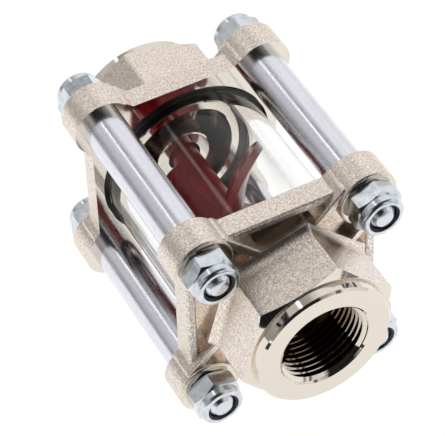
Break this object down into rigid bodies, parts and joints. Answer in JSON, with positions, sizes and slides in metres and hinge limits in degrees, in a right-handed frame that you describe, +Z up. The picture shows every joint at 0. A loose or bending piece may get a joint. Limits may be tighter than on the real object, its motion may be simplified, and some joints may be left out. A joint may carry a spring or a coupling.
{
  "type": "impeller flow indicator",
  "caption": "Inline flow indicator: glass tube clamped between threaded pipe caps by tie rods, with a twisted-blade rotor that spins in the stream.",
  "frame": {"origin": "on the ground plane under the lower lugs, midway between the port faces and centred across", "axes": "+X along the flow towards the outlet port, +Z up"},
  "size_m": [0.1084, 0.0666, 0.0665],
  "materials": {
    "plated_brass": "satin nickel plate",
    "zinc_steel": "bright zinc",
    "clear_glass": "clear polished",
    "gasket_rubber": "matt",
    "bush_plastic": "matt",
    "insert_plastic": "matt",
    "red_plastic": "moulded gloss",
    "shaft_steel": "ground"
  },
  "bodies": {
    "housing": {"inlet_cap": "plated_brass", "outlet_cap": "plated_brass", "sight_glass": "clear_glass", "inlet_gasket": "gasket_rubber", "outlet_gasket": "gasket_rubber", "inlet_bush": "bush_plastic", "outlet_bush": "bush_plastic", "tie_rod_1": "zinc_steel", "tie_rod_2": "zinc_steel", "tie_rod_3": "zinc_steel", "tie_rod_4": "zinc_steel", "inlet_nut_1": "zinc_steel", "inlet_nut_2": "zinc_steel", "inlet_nut_3": "zinc_steel", "inlet_nut_4": "zinc_steel", "outlet_nut_1": "zinc_steel", "outlet_nut_2": "zinc_steel", "outlet_nut_3": "zinc_steel", "outlet_nut_4": "zinc_steel", "inlet_nut_insert_1": "insert_plastic", "inlet_nut_insert_2": "insert_plastic", "inlet_nut_insert_3": "insert_plastic", "inlet_nut_insert_4": "insert_plastic", "outlet_nut_insert_1": "insert_plastic", "outlet_nut_insert_2": "insert_plastic", "outlet_nut_insert_3": "insert_plastic", "outlet_nut_insert_4": "insert_plastic"},
    "rotor": {"rotor": "red_plastic", "rotor_shaft": "shaft_steel"}
  },
  "joints": [
    {"name": "rotor_spin", "type": "hinge", "parent": "housing", "child": "rotor", "pos_m": [0, 0, 0.03325], "axis": [1, 0, 0], "continuous": true}
  ]
}
